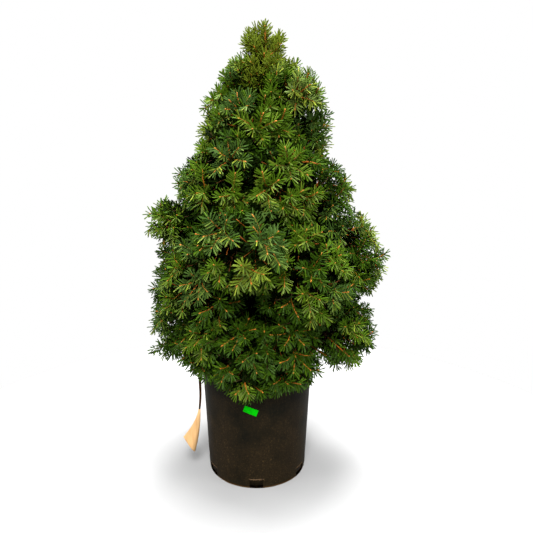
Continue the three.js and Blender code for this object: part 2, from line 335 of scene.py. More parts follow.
print("trunk from", round(soil_level, 3), "to", round(trunk_top, 3), "radii", np.round(trunk_radii, 4).tolist())

# %% [markdown]
# ## Surfaces on a grid
# The pot, the soil, the trunk and the tag are all one idea: a sheet of points in rows and
# columns, joined by quads. A round piece closes on itself across its columns, and its two
# ends are pinched to a point. A thin piece is a sheet with a copy of itself behind it. A
# bough or a twig is a ring of points carried along a curve.

# %% Grids of quads
def grid_faces(rows, columns, closed):
    """Quads between the points of a grid. closed joins the last column to the first."""
    i, j = np.meshgrid(np.arange(rows - 1), np.arange(columns if closed else columns - 1), indexing="ij")
    k = (j + 1) % columns
    quads = np.stack([i * columns + j, i * columns + k, (i + 1) * columns + k, (i + 1) * columns + j], -1)
    return quads.reshape(-1, 4)


def slab(sheet, thickness):
    """A closed thin plate: a sheet (rows, columns, 3), its copy behind it, and a strip all round."""
    rows, columns, _ = sheet.shape
    across = np.gradient(sheet, axis=1)
    down = np.gradient(sheet, axis=0)
    behind = sheet + unit(np.cross(across, down)) * thickness
    front = grid_faces(rows, columns, False)
    index = np.arange(rows * columns).reshape(rows, columns)
    edge = np.concatenate([index[0], index[1:, -1], index[-1, -2::-1], index[-2:0:-1, 0]])
    after = np.roll(edge, -1)
    size = rows * columns
    strip = np.stack([edge, edge + size, after + size, after], 1)
    faces = np.concatenate([front[:, ::-1], front + size, strip[:, ::-1]])
    return np.concatenate([sheet.reshape(-1, 3), behind.reshape(-1, 3)]), faces


print("a closed sheet of 3 by 4 points has", len(grid_faces(3, 4, True)), "quads")


# %% Curves and the rings along them
def bezier(p0, p1, p2, t):
    """A curve from p0 to p2 that leaves towards p1: (1-t)^2 p0 + 2t(1-t) p1 + t^2 p2."""
    return (1 - t) ** 2 * p0 + 2 * t * (1 - t) * p1 + t**2 * p2


def bezier_way(p0, p1, p2, t):
    """The way that curve runs."""
    return unit((1 - t) * (p1 - p0) + t * (p2 - p1))


SKEW = np.array([0.31, 0.17, 0.93])  # any direction that no shoot follows exactly


def rings_on(line, way, radius, sides):
    """Rings of points square to a way: line + radius (side cos a + cross sin a)."""
    side = unit(np.cross(way, SKEW))
    cross = np.cross(way, side)
    turns = full_turn(sides)[:, None]
    ring = side[..., None, :] * np.cos(turns) + cross[..., None, :] * np.sin(turns)
    return line[..., None, :] + ring * radius


# %% Smooth random numbers on a grid
def rough_grid(rows, columns, cell_rows, cell_columns, rng):
    """Values from -1 to 1 at random cell corners, eased between them, and closed across the columns."""
    corners = rng.uniform(-1, 1, (cell_rows + 2, cell_columns))
    u = np.linspace(0, cell_rows, rows)[:, None]
    v = np.linspace(0, cell_columns, columns, endpoint=False)[None]
    i, j = u.astype(int), v.astype(int)
    ease = lambda share: share * share * (3 - 2 * share)
    s, t = ease(u - i), ease(v - j)
    low = corners[i, j] * (1 - t) + corners[i, (j + 1) % cell_columns] * t
    high = corners[i + 1, j] * (1 - t) + corners[i + 1, (j + 1) % cell_columns] * t
    return low * (1 - s) + high * s


# %% [markdown]
# ## The pot
# A blown nursery pot: a thin dark wall that widens a little towards a rolled lip, with six
# drain holes moulded into its foot as small pockets. Cutting the pockets out of a turned wall
# would leave thin open edges. Here one surface does it all: its radius is a function of the
# turn and the distance along the wall, and it steps inwards where a pocket is. It runs from
# the middle of the underside up the outside, over the lip, down the inside and back to the
# middle, so it is closed.

# %% Pot wall
_, pot_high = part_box("pot")
POT_HEIGHT = pot_high.z
LIP = 9 * MM             # height of the rolled lip
LIP_OUT = 2.5 * MM       # how far it stands out
WALL = 2 * MM
UNDERSIDE = 1.5 * MM     # the middle of the underside stands this far off the ground
INSIDE_FLOOR = 4 * MM    # height of the floor inside
BASE_RADIUS = 97 * MM
HEEL = 2 * MM            # rounding at the foot
MOUTH_RADIUS = pot_high.x - LIP_OUT
HOLES, HOLE_WIDTH, HOLE_HEIGHT, HOLE_DEPTH = 6, 25 * MM, 19 * MM, 14 * MM
HOLE_HALF = HOLE_WIDTH / 2 / BASE_RADIUS  # half a hole's width as a turn round the pot
FIRST_HOLE = -math.pi / 2                 # in the middle of the front


def wall_radius(height):
    """Outside radius of the wall: it widens evenly from the base to the lip."""
    return BASE_RADIUS + (MOUTH_RADIUS - BASE_RADIUS) * height / (POT_HEIGHT - LIP)


def pot_profile():
    """Radius and height along the wall: out underneath, up, over the lip, down inside and back in."""
    heel = np.linspace(-np.pi / 2, 0, 7)
    foot = np.stack([BASE_RADIUS - HEEL + HEEL * np.cos(heel), HEEL + HEEL * np.sin(heel)], 1)
    hole_top = HOLE_HEIGHT / MM
    heights = np.concatenate([np.linspace(4, hole_top - 0.6, 10), [hole_top, hole_top + 0.7],
                              np.linspace(24, 212, 32)]) * MM
    side = np.stack([wall_radius(heights), heights], 1)
    roll = np.linspace(-np.pi * 0.5, np.pi, 15)
    half = LIP / 2
    bulge = (LIP_OUT + WALL) / 2
    middle = wall_radius(POT_HEIGHT - LIP) + LIP_OUT - bulge
    squared = lambda wave: np.sign(wave) * np.abs(wave) ** 0.6
    lip = np.stack([middle + bulge * squared(np.cos(roll)),
                    POT_HEIGHT - half + half * squared(np.sin(roll))], 1)
    inside_heights = np.linspace(206, 6, 12) * MM
    inside = np.stack([wall_radius(inside_heights) - WALL, inside_heights], 1)
    start = [[0, UNDERSIDE], [60 * MM, UNDERSIDE], [82 * MM, 0.3 * MM]]
    return np.concatenate([start, foot, side, lip, inside, [[60 * MM, INSIDE_FLOOR], [0, INSIDE_FLOOR]]])


def hole_share(turns, height):
    """1 inside a drain hole's pocket and 0 outside it, at each turn round the pot."""
    spacing = 2 * np.pi / HOLES
    off = np.abs((turns - FIRST_HOLE + spacing / 2) % spacing - spacing / 2)
    return ((off < HOLE_HALF) & (height > 0.8 * MM) & (height < HOLE_HEIGHT)).astype(float)


def hole_turns():
    """Turns round the pot, even but for a pair set close together at each side of each hole."""
    edges = HOLE_HALF * np.array([-1.02, -0.998, 0.998, 1.02])
    across = np.linspace(-HOLE_HALF, HOLE_HALF, 12)[1:-1]
    between = np.linspace(HOLE_HALF, 2 * np.pi / HOLES - HOLE_HALF, 24)[1:-1]
    one = np.sort(np.concatenate([across, edges, between]))
    return np.sort((one + FIRST_HOLE + full_turn(HOLES)[:, None]).ravel() % (2 * np.pi))


pot_rng = np.random.default_rng(3)
profile = pot_profile()
turns = hole_turns()
outside = np.arange(len(profile)) < len(profile) // 2 + 8  # up to below the lip
on_wall = profile[:, 0] > 84 * MM
pocket = hole_share(turns[None], profile[:, 1:]) * (outside & on_wall)[:, None]
waver = rough_grid(len(profile), len(turns), 10, 24, pot_rng) * 0.25 * MM * (profile[:, 0] > 80 * MM)[:, None]
radius = profile[:, :1] - pocket * HOLE_DEPTH + waver
pot_points = polar(radius, turns, profile[:, 1:])
print("pot profile of", len(profile), "points, turned through", len(turns))

# %% [markdown]
# The plastic is black once, but soil has dried on it: brown dust all over, more of it low
# down, with pale specks. It is matt. The dust follows a broad noise and the height above the
# floor, and the specks a fine noise.

# %% Pot finish
def pot_finish():
    """Dusty black plastic: dust by height and a broad noise, specks by a fine one."""
    material, tree, shader = start_finish("pot_plastic", 0.6, 0.03)
    height = node(tree, "SeparateXYZ", {"Vector": node(tree, "TexCoord", {}).outputs["Object"]}).outputs["Z"]
    low_down = share_between(tree, height, 0.20, 0.02)
    broad = noise(tree, 22, 3)
    dust = node(tree, "Math", {0: broad, 1: low_down, 2: broad}, operation="MULTIPLY_ADD").outputs["Value"]
    clean = ramp(tree, noise(tree, 420, 5), [
        (0.40, (0.0022, 0.0022, 0.0012)), (0.61, (0.0045, 0.0038, 0.0021)), (0.74, (0.015, 0.0098, 0.0040))])
    dusty = ramp(tree, noise(tree, 360, 6), [
        (0.36, (0.0065, 0.0046, 0.0022)), (0.62, (0.0132, 0.0088, 0.0039)), (0.75, (0.044, 0.027, 0.0108))])
    covered = blended(tree, share_between(tree, dust, 0.42, 1.0), clean, dusty)
    # the plastic turns brown from 4 mm above the floor down to 2.5 mm, and is brown below that
    at_foot = share_between(tree, height, 4 * MM, 2.5 * MM)
    brown_at_foot = blended(tree, at_foot, covered, (0.050, 0.026, 0.008, 1))
    finish_off(tree, shader, brown_at_foot, 0.6, 0.4 * MM, noise(tree, 500, 4))
    return material


pot_faces = grid_faces(*pot_points.shape[:2], True)
in_pocket = pocket.ravel()[pot_faces].max(1) > 0
hole_finish = patterned("hole_shade", 200, [
    (0.45, (0.0003, 0.0002, 0.0001)), (0.75, (0.0080, 0.0040, 0.0014))], 0.9, 0.5 * MM, 0.0)
make_piece("pot_wall", pot_points, pot_faces, [pot_finish(), hole_finish], "pot_plastic", ["pot"], in_pocket)

# %% [markdown]
# Where the mould closed over each drain hole it left a ragged ribbon of thin plastic on the
# upper edge, coloured a pale brown. Each is a small strip whose lower edge is torn by noise.

# %% Mould flash over the drain holes
def flash_sheet(turn_at, columns=22):
    """A strip across the top of one hole: it stands just off the wall and its lower edge is torn."""
    across = np.linspace(-1, 1, columns) * (HOLE_WIDTH / 2 + 1 * MM) / BASE_RADIUS
    down = np.linspace(0, 1, 4)[:, None]
    torn = 1.2 * MM + 2.4 * MM * pot_rng.random(columns) ** 1.5
    height = HOLE_HEIGHT + 1.0 * MM - down * torn
    out = wall_radius(HOLE_HEIGHT) + 0.5 * MM - 0.4 * MM * down * pot_rng.random(columns)
    return polar(out, turn_at + across, height)


flash = one_mesh([slab(flash_sheet(turn_at), 0.5 * MM) for turn_at in FIRST_HOLE + full_turn(HOLES)])
flash_finish = patterned("pale_brown_edge", 600, [
    (0.42, (0.006, 0.004, 0.002)), (0.58, (0.105, 0.062, 0.030))], 0.7, 0.3 * MM, 0.1)
make_piece("pot_flash", *flash, [flash_finish], "pot_plastic")

# %% [markdown]
# ## Soil
# Dark potting mix a little below the lip, with flakes of bark on it. The mix is one closed
# round surface whose top is uneven, level only where the trunk's flat cut stands on it. The
# flakes are small bent plates, scattered and turned at random.

# %% Soil
soil_rng = np.random.default_rng(5)
soil_low, soil_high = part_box("soil")
SOIL_RADIUS = float(soil_high.x) - 0.3 * MM


def soil_surface(rows=60, columns=96):
    """Top and side of the soil: radius grows to the wall, then the height falls to the pot's floor."""
    top_rows, floor_level = rows - 6, soil_low.z + 2 * MM
    share = np.concatenate([np.linspace(0, 1, top_rows) ** 0.8, np.linspace(1, 0.90, 5), [0]])[:, None]
    level = np.concatenate([np.full(top_rows, soil_high.z), np.linspace(soil_high.z - 2 * MM, floor_level, 5),
                            [floor_level]])[:, None]
    bumps = (rough_grid(rows, columns, 24, 48, soil_rng) * 1.2 * MM
             + rough_grid(rows, columns, 8, 12, soil_rng) * 2 * MM)
    calm = np.clip((share * SOIL_RADIUS - 18 * MM) / (25 * MM), 0, 1)
    on_top = (np.arange(rows) < top_rows)[:, None]
    height = level + on_top * (0.4 * MM + (bumps - 2 * MM) * calm)
    return polar(share * SOIL_RADIUS, full_turn(columns), height)


mix = soil_surface()
mix_finish = patterned("potting_mix", 260, [
    (0.35, (0.006, 0.004, 0.0025)), (0.6, (0.022, 0.013, 0.008)), (0.75, (0.060, 0.038, 0.022))],
    0.95, 2 * MM, 0.1, detail=6)
make_piece("soil_mix", mix, grid_faces(*mix.shape[:2], True)[:, ::-1], [mix_finish], "potting_mix", ["soil"])


# %% Bark flakes on the soil
def flakes(count, rng):
    """Bent closed plates: a 3 by 3 sheet with uneven corners, its copy below, at random turns."""
    turns = rng.uniform(0, 2 * np.pi, count)
    out = SOIL_RADIUS * 0.93 * np.sqrt(rng.uniform(0.05, 1, count))
    spin = rng.uniform(0, 2 * np.pi, count)
    long, wide = rng.uniform(3, 9, count) * MM, rng.uniform(2, 5, count) * MM
    u, v = np.meshgrid(np.linspace(-1, 1, 3), np.linspace(-1, 1, 3), indexing="ij")
    parts = []
    for k in range(count):
        x = u * long[k] * (1 + 0.25 * rng.uniform(-1, 1, u.shape))
        y = v * wide[k] * (1 + 0.25 * rng.uniform(-1, 1, u.shape))
        z = (0.25 - u * u * 0.3) * long[k] * 0.5 + x * rng.uniform(-0.4, 0.4) + y * rng.uniform(-0.4, 0.4)
        c, s = math.cos(spin[k]), math.sin(spin[k])
        sheet = polar(out[k], turns[k], soil_high.z) + np.stack([c * x - s * y, s * x + c * y, z], -1)
        parts.append(slab(sheet, 1.2 * MM))
    return one_mesh(parts)


flake_finish = patterned("bark_flakes", 180, [
    (0.3, (0.030, 0.014, 0.007)), (0.55, (0.10, 0.050, 0.026)), (0.75, (0.20, 0.125, 0.075))],
    0.85, 0.6 * MM, 0.2, stretch=(1, 1, 3))
make_piece("soil_flakes", *flakes(320, soil_rng), [flake_finish], "potting_mix", smooth=False)

# %% [markdown]
# ## Label and hang tag
# The label is a small bright green sticker, bare, stuck on a little askew, with one corner
# lifting. It is a sheet bent round the wall. The tag is a blank card of thin wood-coloured
# stock whose inner edge has curled back, on a flat dark strap that hangs from a twig.

# %% Label
LABEL_WIDTH, LABEL_HEIGHT, LABEL_TILT = 26 * MM, 12.5 * MM, math.radians(-21)
OFF_THE_WALL = 0.45 * MM
label_middle = (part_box("price_label")[0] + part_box("price_label")[1]) / 2
label_bearing = math.atan2(label_middle.y, label_middle.x)


def label_sheet(rows=15, columns=29):
    """The sticker: a tilted rectangle wrapped on the wall, its upper left corner lifting."""
    v, u = np.meshgrid(np.linspace(0.5, -0.5, rows), np.linspace(-0.5, 0.5, columns), indexing="ij")
    x, y = u * LABEL_WIDTH, v * LABEL_HEIGHT
    c, s = math.cos(LABEL_TILT), math.sin(LABEL_TILT)
    across, level = c * x - s * y, label_middle.z + s * x + c * y
    lift = 1.3 * MM * np.clip(v - u - 0.72, 0, 1) ** 1.5 * 4 + 0.06 * MM * np.sin(u * 22 + v * 9)
    out = wall_radius(level) + OFF_THE_WALL + lift
    turns = label_bearing + across / wall_radius(level)
    return polar(out, turns, level)


label_finish = patterned("label_paper", 900, [
    (0.30, (0.0005, 0.18, 0.0008)), (0.50, (0.0008, 0.30, 0.0012)), (0.75, (0.002, 0.37, 0.003))],
    0.6, 0.05 * MM, 0.01)
make_piece("label", *slab(label_sheet(), 0.25 * MM), [label_finish], "label", ["price_label"])


# %% Hang tag
card_points, _ = triangles("tag_card")
card_top = card_points[card_points[:, 2] > card_points[:, 2].max() - 1 * MM].mean(0)
card_foot = card_points[card_points[:, 2].argmin()]
card_corner = card_points[card_points[:, 0].argmin()]


def card_sheet(rows=40, columns=16):
    """Between an outer edge from the top to the corner and an inner edge from the top to the foot."""
    t = np.linspace(0, 1, rows)[:, None]
    side = np.array([1.8 * MM, 0, 0])
    pull = np.array([9 * MM, 0, 0])
    outer = bezier(card_top - side, (card_top + card_corner) / 2 + pull, card_corner, t)
    inner = bezier(card_top + side, (card_top + card_foot) / 2 + pull * 0.8, card_foot, t)
    u = np.linspace(0, 1, columns)[None, :, None]
    sheet = outer[:, None] * (1 - u) + inner[:, None] * u
    curl = np.clip((u[..., 0] - 0.72) / 0.28, 0, 1) ** 2 * t * 5 * MM
    belly = np.sin(np.pi * u[..., 0]) * t * 1.5 * MM
    sheet[..., 1] += curl - belly + 0.3 * MM * np.sin(t * 9 + u[..., 0] * 5)
    return sheet


def card_finish():
    """Thin pale stock: long fine fibres and a few dark flecks."""
    material, tree, shader = start_finish("card_stock", 0.55, 0.25)
    fibres = noise(tree, 160, 6, (1, 1, 0.12))
    pale = ramp(tree, fibres, [
        (0.30, (0.36, 0.205, 0.082)), (0.52, (0.44, 0.262, 0.112)), (0.72, (0.50, 0.31, 0.140))])
    flecks = ramp(tree, noise(tree, 130, 2), [(0.74, (1, 1, 1)), (0.80, (0.55, 0.42, 0.30))])
    finish_off(tree, shader, blended(tree, 1.0, pale, flecks, "MULTIPLY"), 0.5, 0.15 * MM, fibres)
    return material


make_piece("tag_card_plate", *slab(card_sheet(), 0.7 * MM), [card_finish()], "tag_card", ["tag_card"])

# %% [markdown]
# ## Bark
# The trunk runs whole from its flat cut on the soil to the tip. Its bark is thin and scaly:
# small plates that lift at their edges, with furrows between them that run more along the
# trunk than round it. A picture of bark would lie flat, so the relief is in the mesh: the
# radius is that of the CAD trunk plus two layers of smooth noise, the finer one folded so
# that it makes ridges.

# %% Bark relief
bark_rng = np.random.default_rng(11)


def bark_relief(rows, columns, plate_rows, plate_columns, depth):
    """Depth times a broad noise plus a folded one: 1 - 2|noise| is high along lines, low between."""
    broad = rough_grid(rows, columns, max(1, plate_rows // 4), max(3, plate_columns // 2), bark_rng)
    folded = 1 - 2 * np.abs(rough_grid(rows, columns, plate_rows, plate_columns, bark_rng))
    return depth * (0.5 * broad + 0.6 * folded)


# grey-brown plates over red-brown furrows, drawn out along the trunk
bark = patterned("spruce_bark", 130, [
    (0.30, (0.016, 0.007, 0.003)), (0.45, (0.060, 0.026, 0.009)),
    (0.60, (0.120, 0.064, 0.030)), (0.74, (0.190, 0.130, 0.085))],
    0.85, 0.8 * MM, 0.2, detail=6, stretch=(1, 1, 0.45))
# the last two years' growth, still orange-brown and of finer grain
young_bark = patterned("spruce_bark_young", 260, [
    (0.30, (0.030, 0.011, 0.003)), (0.45, (0.100, 0.034, 0.006)),
    (0.60, (0.190, 0.068, 0.012)), (0.74, (0.270, 0.110, 0.022))],
    0.7, 0.4 * MM, 0.1, detail=5, stretch=(1, 1, 0.3))
print("two finishes of bark")

# %% Trunk
TRUNK_ROWS, TRUNK_COLUMNS = 340, 40
TRUNK_PLATES, BOUGH_PLATES = (150, 11), (12, 7)  # plates of bark along and round
YOUNG_FROM = 0.70  # above this height the trunk is only one or two years old


def trunk_surface():
    """A ring for each height round the trunk's middle; the foot swells in five low buttresses."""
    inner = np.linspace(soil_level, trunk_top, TRUNK_ROWS - 2)
    heights = np.concatenate([[soil_level], inner, [trunk_top]])
    turns = full_turn(TRUNK_COLUMNS)
    radius = np.interp(heights, trunk_middles[:, 2], trunk_radii)[:, None]
    foot = np.exp(-(heights - soil_level) / (14 * MM))[:, None]
    relief = bark_relief(TRUNK_ROWS, TRUNK_COLUMNS, *TRUNK_PLATES, 0.07) * radius
    radius = radius * (0.95 + 0.10 * foot * np.cos(5 * turns + 1)) + relief
    radius[[0, -1]] = 0
    return trunk_axis(heights)[:, None] + polar(radius, turns, 0.0)


trunk_points = trunk_surface()
trunk_faces = grid_faces(TRUNK_ROWS, TRUNK_COLUMNS, True)
age = trunk_points.reshape(-1, 3)[trunk_faces, 2].mean(1) > YOUNG_FROM
make_piece("trunk_bark", trunk_points, trunk_faces, [bark, young_bark], "bark", ["trunk"], kind=age)

# %% [markdown]
# ## Boughs
# Each mass of foliage stands on one bough, which leaves the trunk, bends a little and ends
# where it enters the mass. A bough is a ring carried along a curve, with the same bark and a
# thicker collar where it leaves the trunk.

# %% Boughs
def bough_line(mass):
    """A bough's start in the trunk, its bend and its end, from the corners of its CAD solid."""
    points, _ = triangles("bough_" + mass)
    away = reach_of(points)
    butt = points[away < np.quantile(away, 0.25)].mean(0)
    end = points[away > away.max() - 6 * MM].mean(0)
    start = trunk_axis(butt[2] - 1 * MM)
    return start, (start + end) / 2 - 0.06 * np.linalg.norm(end - start) * UP, end


BOUGH_ROWS, BOUGH_SIDES = 26, 18
BOUGH_RADII = 3.4 * MM, 1.9 * MM  # at the trunk and at the end
bough_masses = [mass for mass in masses if "bough_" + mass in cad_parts]
bough_lines = {mass: bough_line(mass) for mass in bough_masses}


def bough_surface(mass):
    """Rings along the bough's curve, wider at the collar and pinched shut at both ends."""
    p0, p1, p2 = bough_lines[mass]
    t = np.concatenate([[0], np.linspace(0, 1, BOUGH_ROWS - 2), [1]])[:, None]
    collar = 1 + 0.5 * np.exp(-np.linalg.norm(bezier(p0, p1, p2, t) - p0, axis=1) / (7 * MM))
    radius = np.interp(t[:, 0], [0, 1], BOUGH_RADII) * collar
    radius = radius[:, None] * (1 + bark_relief(BOUGH_ROWS, BOUGH_SIDES, *BOUGH_PLATES, 0.08))
    radius[[0, -1]] = 0
    return rings_on(bezier(p0, p1, p2, t), bezier_way(p0, p1, p2, t), radius[..., None], BOUGH_SIDES)


bough_points = np.stack([bough_surface(mass) for mass in bough_masses])
bough_faces = repeated(grid_faces(BOUGH_ROWS, BOUGH_SIDES, True), len(bough_masses), BOUGH_ROWS * BOUGH_SIDES)
make_piece("boughs_bark", bough_points, bough_faces, [bark], "bark",
           ["bough_" + mass for mass in bough_masses])

# %% [markdown]
# ## How the foliage grows
# A spruce of this kind grows in sprays. A bough forks inside its mass, each fork ends in a
# node, and from the node a few short shoots spread to the light, each ringed with needles and
# closed by a bud. Growing blindly outwards from the trunk would never give the outline that
# the plant really has. So the branching works from both ends: the tips of the shoots are
# spaced out evenly under the skin of the mass, neighbouring tips are gathered into sprays,
# and the sprays are joined back to the bough's end.

# %% Tips under the skin of a mass
growth_rng = np.random.default_rng(7)
CROWD = 12           # random places tried for each square of the spacing
SIGHT = 60 * MM      # how far the room ahead of a place is measured
CLEFT_ROOM = 5 * MM  # with less room than this a place is in a cleft


def skin_points(mass, spacing):
    """Random places on a mass, their normals, and the middle of the mass."""
    points, corners = triangles("foliage_" + mass)
    a, b, c = (points[corners[:, k]] for k in range(3))
    cross = np.cross(b - a, c - a)
    area = np.linalg.norm(cross, axis=1) / 2
    count = int(area.sum() / spacing**2 * CROWD)
    pick = growth_rng.choice(len(corners), count, p=area / area.sum())
    u, v = growth_rng.random((2, count))
    u, v = np.where(u + v > 1, [1 - u, 1 - v], [u, v])
    places = a[pick] + (b - a)[pick] * u[:, None] + (c - a)[pick] * v[:, None]
    return places, unit(cross)[pick], points.mean(0)


def thin_out(places, spacing):
    """The places left when each one closer than the spacing to an earlier one is dropped."""
    kept = []
    for i, place in enumerate(places):
        if not kept or np.linalg.norm(places[kept] - place, axis=1).min() > spacing:
            kept.append(i)
    return np.array(kept, int)


def room_ahead(places, normals, own):
    """How far each place can see along its normal before it meets another solid."""
    room = np.full(len(places), SIGHT)
    for i, (place, normal) in enumerate(zip(places, normals)):
        hit = solids.ray_cast((place + normal * 1.2 * MM).tolist(), normal.tolist(), SIGHT)
        if hit[0] is not None and solid_owner[hit[2]] != own:
            room[i] = hit[3]
    return room


def away_from_trunk(places):
    """The level way from the trunk to each place."""
    return unit((places - trunk_axis(places[:, 2])) * [1, 1, 0])


# %% [markdown]
# Low shoots hang over the rim of the pot, those in the middle look straight out, and the
# young growth at the top reaches up. The height above the floor decides which.

# %% Where each tip is and the way its shoot grows
def climb(height):
    """How strongly a shoot turns up, or below zero down, at each height."""
    return np.interp(height, [0.22, 0.29, 0.40, 0.55, 0.68, 0.84], [-0.9, -0.55, -0.25, -0.05, 0.35, 0.8])


def shoot_tips(mass, spacing, depth, outer):
    """Shoot tips under the skin of a mass, on its open side or in its clefts, and the way each grows."""
    places, normals, middle = skin_points(mass, spacing)
    kept = thin_out(places, spacing)
    places, normals = places[kept], normals[kept]
    room = room_ahead(places, normals, solid_names.index("foliage_" + mass))
    inward = ((normals * away_from_trunk(places)).sum(1) < -0.3) & (np.abs(normals[:, 2]) < 0.85)
    open_side = (room > CLEFT_ROOM) & ~inward
    wanted = open_side if outer else ~open_side
    places, normals = places[wanted], normals[wanted]
    if not outer:
        normals = away_from_trunk(places)
    out = unit(0.7 * normals + 0.4 * unit(places - middle) + 0.7 * away_from_trunk(places))
    turned = out + UP * climb(places[:, 2])[:, None]
    way = unit(turned + growth_rng.normal(0, 0.15, out.shape))
    sink = depth + growth_rng.normal(0, 3 * MM, len(places))
    return places - out * sink[:, None], way


def gathered(points, size):
    """Points shared out into groups of about one size: each joins the nearest middle, eight times."""
    count = max(1, round(len(points) / size))
    middles = points[growth_rng.choice(len(points), count, replace=False)]
    for _ in range(8):
        group = np.linalg.norm(points[:, None] - middles[None], axis=2).argmin(1)
        middles = np.array([points[group == k].mean(0) if (group == k).any() else middles[k]
                            for k in range(count)])
    return group, middles


print("shoots turn by", climb(0.22), "over the rim and by", climb(0.84), "at the top")

# %% [markdown]
# A shoot is kept as one row: where it starts, the point it bends towards, where it ends, the
# number of its spray, and its kind. The kinds go from the outside in: tips that show, a
# second tier behind them, tips in the clefts between masses, side shoots on the stems, inner
# twigs from the trunk itself, and the leader at the top.

# %% Sprays of shoots
Shoot = namedtuple("Shoot", "start bend end spray kind")
OUTER, SECOND, CLEFT, SIDE, INNER, WHORL = range(6)
SPRAY = 4.5  # shoots to a spray
TIERS = [
    # kind, spacing, depth under the skin, on the open side, length of a spray in mm
    (OUTER, 26 * MM, 13 * MM, True, (18, 30)),
    (SECOND, 27 * MM, 28 * MM, True, (32, 48)),
    (CLEFT, 25 * MM, -9 * MM, False, (32, 48)),
]


def bends(rows):
    """The start, the bend and the end of each shoot or stem, as three arrays."""
    return (np.array([row[k] for row in rows]) for k in range(3))


def sprays(root, kind, tips, ways, lengths):
    """The shoots to one tier's tips, and the node and way of each spray."""
    rows, nodes = [], []
    group, _ = gathered(tips, SPRAY)
    for k in range(group.max() + 1):
        mine = np.flatnonzero(group == k)
        if not len(mine):
            continue
        way = unit(ways[mine].mean(0))
        length = growth_rng.uniform(*lengths) * MM
        end = tips[mine].mean(0)
        start = end - way * length
        if np.linalg.norm(end - root) < length * 1.2:
            start = end + (root - end) * 0.8
        nodes.append((start, way))
        for i in mine:
            span = np.linalg.norm(tips[i] - start)
            bend = start + unit(way + 0.8 * unit(tips[i] - start)) * span * 0.5
            rows.append(Shoot(start, bend, tips[i], k, kind))
    return rows, nodes


# %% [markdown]
# Some tips in a cleft can be seen from outside after all, past the end of a neighbouring
# mass, and dark needles there would stand out against the light. So each is asked how much
# is open round it. One with a clear view becomes an outer shoot, a little further in.

# %% Tips that look out of a cleft
FAR = 0.2           # a ray this long, in metres, crosses any mass and ends outside the plant
CLEAR_SHARE = 0.3   # of the ways out of a cleft
DRAWN_IN = 12 * MM


def openness(places):
    """The share of five ways, straight out and 45 degrees to each side, that miss every mass."""
    out = away_from_trunk(places)
    side = np.cross(out, UP)
    clear = np.zeros(len(places))
    for ways in (out, out + side, out - side, out + UP, out - UP):
        clear += [solids.ray_cast(place.tolist(), way.tolist(), FAR)[0] is None
                  for place, way in zip(places, unit(ways))]
    return clear / 5


def brought_out(rows):
    """The shoots of the clefts, with each whose tip is in the open turned into an outer one."""
    ends = np.array([row.end for row in rows])
    further_in = ends - away_from_trunk(ends) * DRAWN_IN
    return [row._replace(end=end, kind=OUTER) if clear > CLEAR_SHARE else row
            for row, end, clear in zip(rows, further_in, openness(ends))]


# %% Stems from the bough to the sprays
Stem = namedtuple("Stem", "start bend end foot_radius end_radius")
STEM_RADII = 1.9 * MM, 1.5 * MM, 1.1 * MM  # at the bough's end, at the fork and at the spray
SIDE_SHOOTS = 3                            # on each stem
FORKED = 4                                 # sprays that share a fork
FORK_AT = 0.45                             # of the way from the bough to the middle of its sprays
NECK_SPACING = 0.65                        # of the usual one, in the clefts high up


def side_shoots(p0, p1, p2, spray):
    """Short shoots turned at random off one stem, kept where a ray outwards still meets the skin."""
    rows = []
    for q in range(SIDE_SHOOTS):
        t = 0.3 + 0.7 * (q + growth_rng.random()) / SIDE_SHOOTS
        along = bezier_way(p0, p1, p2, t)
        lead = unit(along * 0.6 + unit(np.cross(along, growth_rng.normal(size=3))))
        start, reach = bezier(p0, p1, p2, t), growth_rng.uniform(22, 34) * MM
        end = start + lead * reach
        if solids.ray_cast(end.tolist(), away_from_trunk(end[None])[0].tolist(), FAR)[0] is not None:
            rows.append(Shoot(start, start + lead * reach / 2, end, spray, SIDE))
    return rows


def grow(mass):
    """All shoots and stems of one mass: sprays for its tips, then stems that fork to the sprays."""
    root = bough_lines[mass][2]
    rows, nodes, stems = [], [], []
    for kind, spacing, depth, outer, lengths in TIERS:
        closer = NECK_SPACING if kind == CLEFT and mass.startswith("neck") else 1.0
        tips, ways = shoot_tips(mass, spacing * closer, depth, outer)
        if len(tips) > 1:
            tier, tier_nodes = sprays(root, kind, tips, ways, lengths)
            rows += brought_out(tier) if kind == CLEFT else tier
            nodes += tier_nodes
    node_at = np.array([start for start, _ in nodes])
    group, forks = np.zeros(len(nodes), int), [node_at.mean(0)]
    if len(nodes) > FORKED:
        group, forks = gathered(node_at, FORKED)
    for j, middle in enumerate(forks):
        fork = root + (middle - root) * FORK_AT
        bend = (root + fork) / 2 + growth_rng.normal(0, 3 * MM, 3)
        stems.append(Stem(root, bend, fork, *STEM_RADII[:2]))
        for m in np.flatnonzero(group == j):
            start, way = nodes[m]
            bend = start - way * np.linalg.norm(start - fork) * 0.45
            stems.append(Stem(fork, bend, start, *STEM_RADII[1:]))
            rows += side_shoots(fork, bend, start, m)
    return rows, stems


shoots, stems = {}, {}
for mass in bough_masses:
    shoots[mass], stems[mass] = grow(mass)
print(sum(map(len, shoots.values())), "shoots on", sum(map(len, stems.values())), "stems")

# %% [markdown]
# Between the boughs, thin dark twigs grow straight from the trunk and fill the middle, so
# that no light comes through from behind. They follow the golden angle of 137.5 degrees,
# which never lines one twig up over another.

